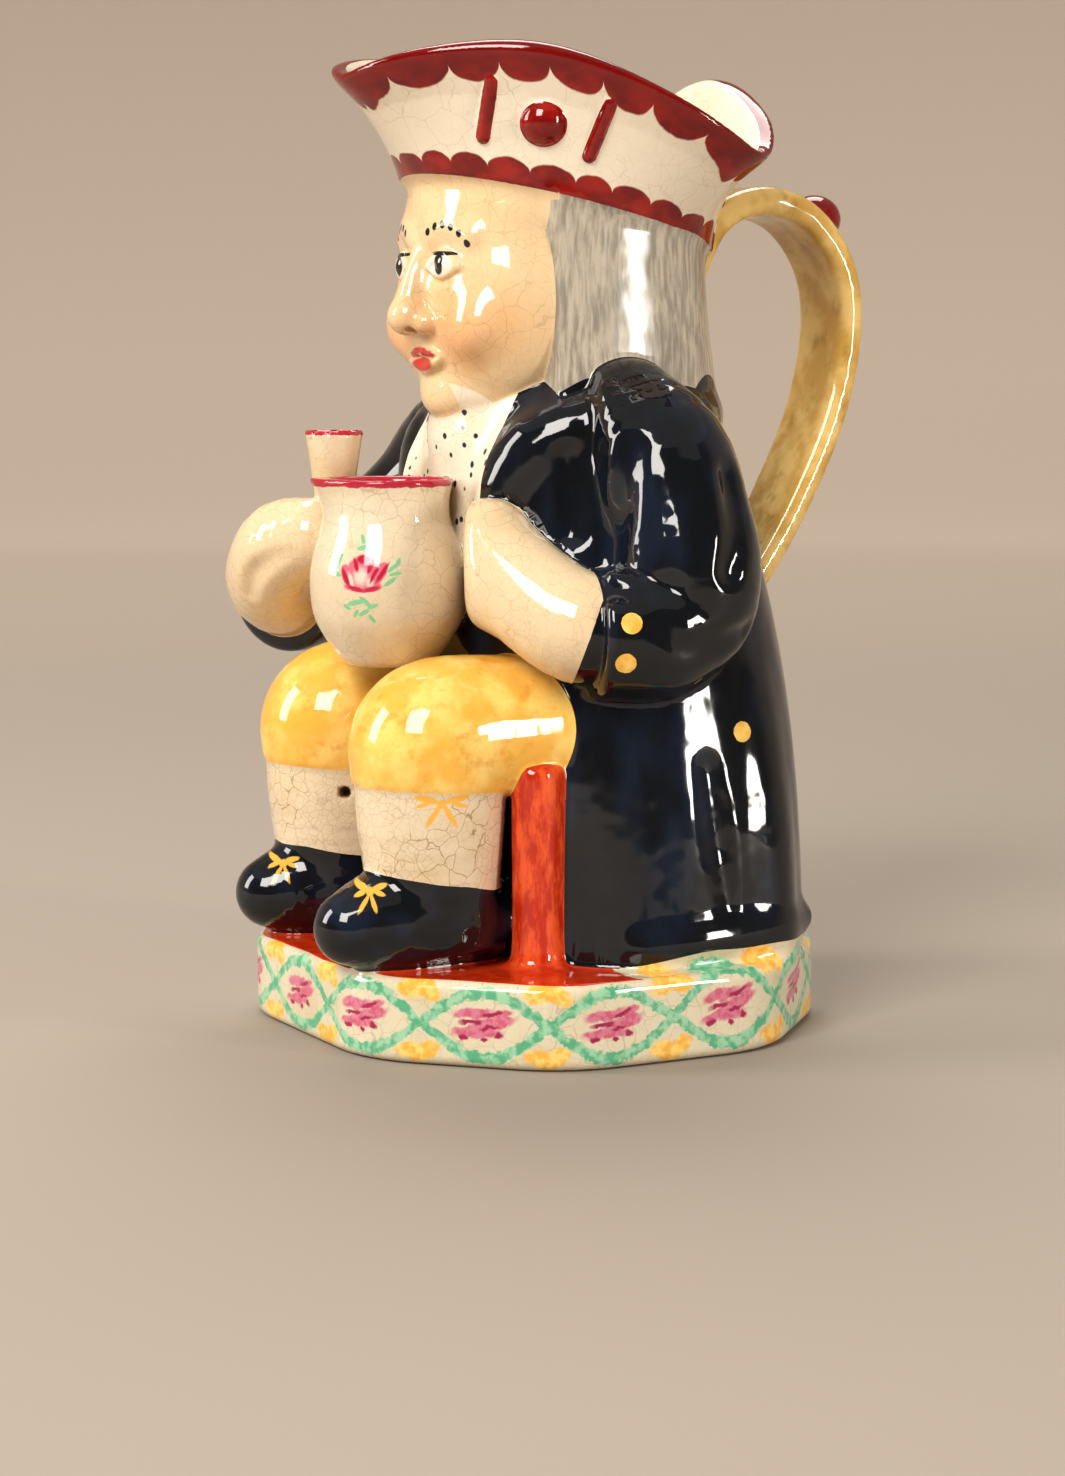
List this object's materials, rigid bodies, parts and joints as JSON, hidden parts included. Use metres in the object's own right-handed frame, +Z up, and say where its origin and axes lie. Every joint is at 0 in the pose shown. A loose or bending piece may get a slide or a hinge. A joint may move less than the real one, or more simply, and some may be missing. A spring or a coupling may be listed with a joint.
{
  "type": "toby jug",
  "caption": "Glazed earthenware jug in the shape of a seated man in a three-cornered hat, holding a small jug and a beaker, with a strap handle behind.",
  "frame": {"origin": "middle of the flat underside, on the surface it stands on", "axes": "+Z up, -Y the way the figure faces, +X the figure's left, the strap handle at +Y"},
  "size_m": [0.1321, 0.1441, 0.2105],
  "materials": {
    "glazed_earthenware": "hand-painted colours under a glossy, finely crazed clear glaze"
  },
  "bodies": {
    "root": {"toby_jug": "glazed_earthenware"}
  },
  "joints": []
}
